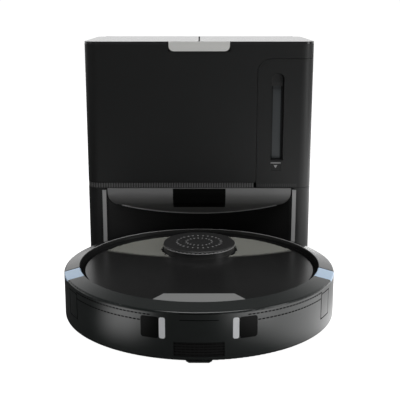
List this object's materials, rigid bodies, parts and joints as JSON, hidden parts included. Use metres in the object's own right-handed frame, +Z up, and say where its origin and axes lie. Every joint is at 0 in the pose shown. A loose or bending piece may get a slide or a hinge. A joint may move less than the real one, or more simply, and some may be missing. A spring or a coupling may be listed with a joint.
{
  "type": "robot vacuum",
  "caption": "Round robot vacuum parked in a tall self-emptying dock, with lid, dust cup, bumper, brushes and wheels that move.",
  "frame": {"origin": "on the floor, under the middle of the bounding box of dock and parked robot", "axes": "+X to the right seen from the robot, +Y from the robot towards the dock, +Z up"},
  "size_m": [0.351, 0.491, 0.3503],
  "materials": {
    "dock_black": "fine satin moulded plastic",
    "dock_inner": "matt moulded plastic",
    "lid_gloss": "polished plastic",
    "silver_trim": "satin silver",
    "smoke_clear": "smoked clear plastic",
    "robot_black": "satin plastic",
    "robot_inner": "bare moulded plastic",
    "blue_trim": "pearl blue grey",
    "rubber_black": "matt rubber",
    "tyre_rubber": "ribbed rubber",
    "bright_bar": "bright plated",
    "motor_steel": "drawn steel can",
    "brass_contact": "bare metal",
    "spring_steel": "spring steel",
    "board_green": "coated circuit board",
    "battery_wrap": "shrink wrapped cells",
    "filter_paper": "pleated filter paper",
    "brush_rubber": "soft rubber vanes",
    "bristle": "nylon bristles"
  },
  "bodies": {
    "dock": {"dock_base_plate": "dock_inner", "dock_feet": "rubber_black", "tower_shell": "dock_black", "cavity_liner": "dock_inner", "rear_cover": "dock_black", "power_inlet": "dock_inner", "dock_board": "board_green", "docking_hood": "dock_black", "homing_window": "smoke_clear", "dock_screws": "spring_steel", "upper_housing": "dock_black", "inner_frame": "dock_inner", "vent_band": "dock_inner", "lid_hinge_pins": "spring_steel", "suction_duct": "robot_inner", "duct_gasket": "rubber_black", "fan_motor": "motor_steel", "exhaust_filter": "filter_paper"},
    "lid": {"top_lid": "lid_gloss", "lid_finger_tab": "silver_trim"},
    "dust_cup": {"dust_cup": "dock_black", "cup_window": "smoke_clear", "cup_bottom_door": "dock_inner", "cyclone_shroud": "robot_inner"},
    "cup_latch": {"cup_latch": "dock_black"},
    "dock_fan": {"fan_impeller": "robot_inner"},
    "charge_contact_left": {"charge_contact_left": "brass_contact"},
    "charge_contact_right": {"charge_contact_right": "brass_contact"},
    "robot": {"robot_chassis": "robot_inner", "robot_housing": "robot_inner", "rear_ring": "robot_black", "deck_plate": "robot_black", "deck_inlay": "robot_black", "lidar_cap": "robot_black", "lidar_window": "smoke_clear", "lidar_motor": "motor_steel", "battery": "battery_wrap", "robot_board": "board_green", "robot_fan": "robot_inner", "robot_dust_bin": "robot_inner", "brush_cover": "robot_inner", "charge_pads": "brass_contact", "side_brush_motor": "motor_steel", "bumper_springs": "spring_steel"},
    "bumper": {"bumper": "robot_black", "bumper_windows": "smoke_clear", "side_accents": "blue_trim"},
    "clean_button": {"clean_button": "silver_trim"},
    "lidar_rotor": {"lidar_rotor": "robot_inner"},
    "bin_flap": {"bin_flap": "rubber_black"},
    "brush_roll": {"brush_roll": "brush_rubber"},
    "side_brush": {"side_brush": "bristle"},
    "caster_fork": {"caster_fork": "robot_inner"},
    "caster_wheel": {"caster_wheel": "tyre_rubber"},
    "wheel_arm_left": {"wheel_arm_left": "robot_inner"},
    "wheel_arm_right": {"wheel_arm_right": "robot_inner"},
    "wheel_left": {"drive_wheel_left": "robot_inner", "tyre_left": "tyre_rubber"},
    "wheel_right": {"drive_wheel_right": "robot_inner", "tyre_right": "tyre_rubber"}
  },
  "joints": [
    {"name": "undock", "type": "slide", "parent": "dock", "child": "robot", "axis": [0, -1, 0], "range_m": [0, 0.35]},
    {"name": "lid_hinge", "type": "hinge", "parent": "dock", "child": "lid", "pos_m": [0, 0.2415, 0.34865], "axis": [-1, 0, 0], "range_deg": [0, 75]},
    {"name": "cup_slide", "type": "slide", "parent": "dock", "child": "dust_cup", "axis": [1, 0, 0], "range_m": [0, 0.08]},
    {"name": "latch_press", "type": "slide", "parent": "dust_cup", "child": "cup_latch", "axis": [0, 1, 0], "range_m": [0, 0.002], "stiffness_N_per_m": 300, "springref_m": -0.001},
    {"name": "dock_fan_spin", "type": "hinge", "parent": "dock", "child": "dock_fan", "pos_m": [-0.045, 0.155, 0.165], "axis": [0, 0, 1], "continuous": true},
    {"name": "contact_left_press", "type": "slide", "parent": "dock", "child": "charge_contact_left", "axis": [0, 0, -1], "range_m": [0, 0.0015], "stiffness_N_per_m": 300, "springref_m": -0.001},
    {"name": "contact_right_press", "type": "slide", "parent": "dock", "child": "charge_contact_right", "axis": [0, 0, -1], "range_m": [0, 0.0015], "stiffness_N_per_m": 300, "springref_m": -0.001},
    {"name": "bumper_press", "type": "slide", "parent": "robot", "child": "bumper", "axis": [0, 1, 0], "range_m": [0, 0.002], "stiffness_N_per_m": 600, "springref_m": -0.002, "deforming": ["bumper_springs"]},
    {"name": "button_press", "type": "slide", "parent": "robot", "child": "clean_button", "axis": [0, 0, -1], "range_m": [0, 0.0008], "stiffness_N_per_m": 300, "springref_m": -0.0015},
    {"name": "lidar_spin", "type": "hinge", "parent": "robot", "child": "lidar_rotor", "pos_m": [0, 0.0045, 0.066], "axis": [0, 0, 1], "continuous": true},
    {"name": "flap_hinge", "type": "hinge", "parent": "robot", "child": "bin_flap", "pos_m": [0, 0.0981, 0.0416], "axis": [1, 0, 0], "range_deg": [0, 35]},
    {"name": "brush_spin", "type": "hinge", "parent": "robot", "child": "brush_roll", "pos_m": [0, -0.035, 0.0208], "axis": [1, 0, 0], "continuous": true},
    {"name": "side_brush_spin", "type": "hinge", "parent": "robot", "child": "side_brush", "pos_m": [0.088, -0.158, 0.006], "axis": [0, 0, 1], "continuous": true},
    {"name": "caster_swivel", "type": "hinge", "parent": "robot", "child": "caster_fork", "pos_m": [0, -0.195, 0.028], "axis": [0, 0, 1], "continuous": true},
    {"name": "caster_spin", "type": "hinge", "parent": "caster_fork", "child": "caster_wheel", "pos_m": [0, -0.188, 0.013], "axis": [1, 0, 0], "continuous": true},
    {"name": "wheel_drop_left", "type": "hinge", "parent": "robot", "child": "wheel_arm_left", "pos_m": [-0.089, -0.115, 0.03], "axis": [-1, 0, 0], "range_deg": [0, 18], "stiffness_Nm_per_rad": 0.05, "springref_deg": 57.3},
    {"name": "wheel_spin_left", "type": "hinge", "parent": "wheel_arm_left", "child": "wheel_left", "pos_m": [-0.107, -0.07, 0.0275], "axis": [1, 0, 0], "continuous": true},
    {"name": "wheel_drop_right", "type": "hinge", "parent": "robot", "child": "wheel_arm_right", "pos_m": [0.089, -0.115, 0.03], "axis": [-1, 0, 0], "range_deg": [0, 18], "stiffness_Nm_per_rad": 0.05, "springref_deg": 57.3},
    {"name": "wheel_spin_right", "type": "hinge", "parent": "wheel_arm_right", "child": "wheel_right", "pos_m": [0.107, -0.07, 0.0275], "axis": [1, 0, 0], "continuous": true}
  ]
}
